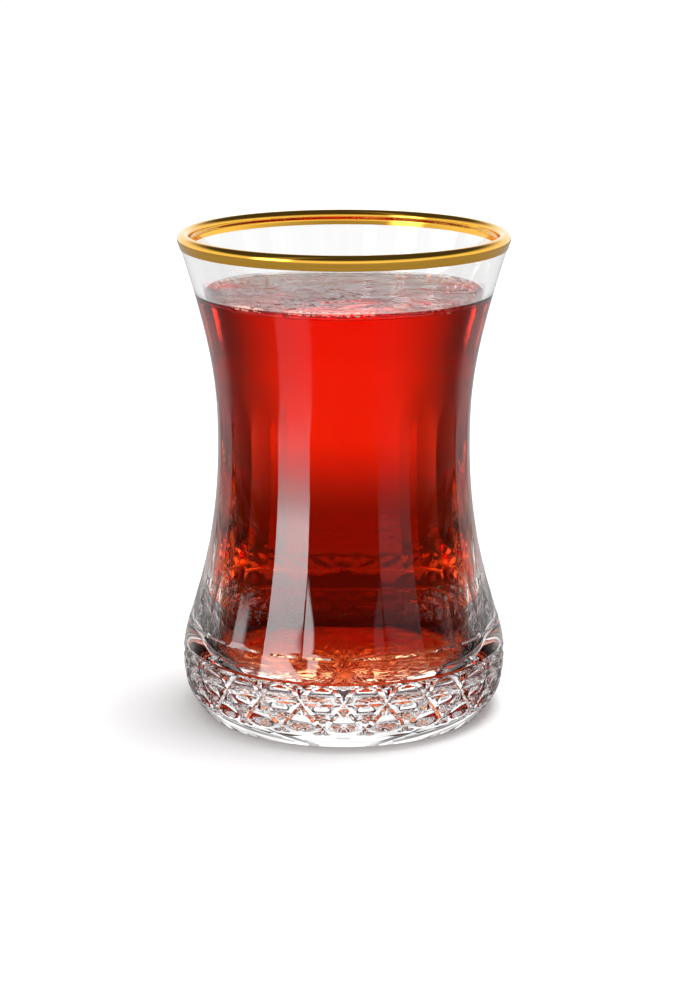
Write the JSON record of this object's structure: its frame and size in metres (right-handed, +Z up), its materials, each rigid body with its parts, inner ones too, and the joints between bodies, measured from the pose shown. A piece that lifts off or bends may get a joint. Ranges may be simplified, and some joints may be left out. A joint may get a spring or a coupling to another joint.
{
  "type": "turkish tea glass filled with tea",
  "caption": "Waisted tea glass with a thick cut base, flat flutes up its side and a gilded lip, filled with clear red tea.",
  "frame": {"origin": "middle of the ring that the glass stands on, at the table", "axes": "+Z up along the axis of the glass; +X and +Y are level, and the front is seen looking along +Y"},
  "size_m": [0.061, 0.061, 0.09],
  "materials": {
    "clear_glass": "clear fire-polished soda-lime glass",
    "gilding": "bright burnished gilding",
    "tea": "clear red-brown black tea"
  },
  "bodies": {
    "root": {"glass": "clear_glass", "gold_rim": "gilding", "tea": "tea"}
  },
  "joints": []
}
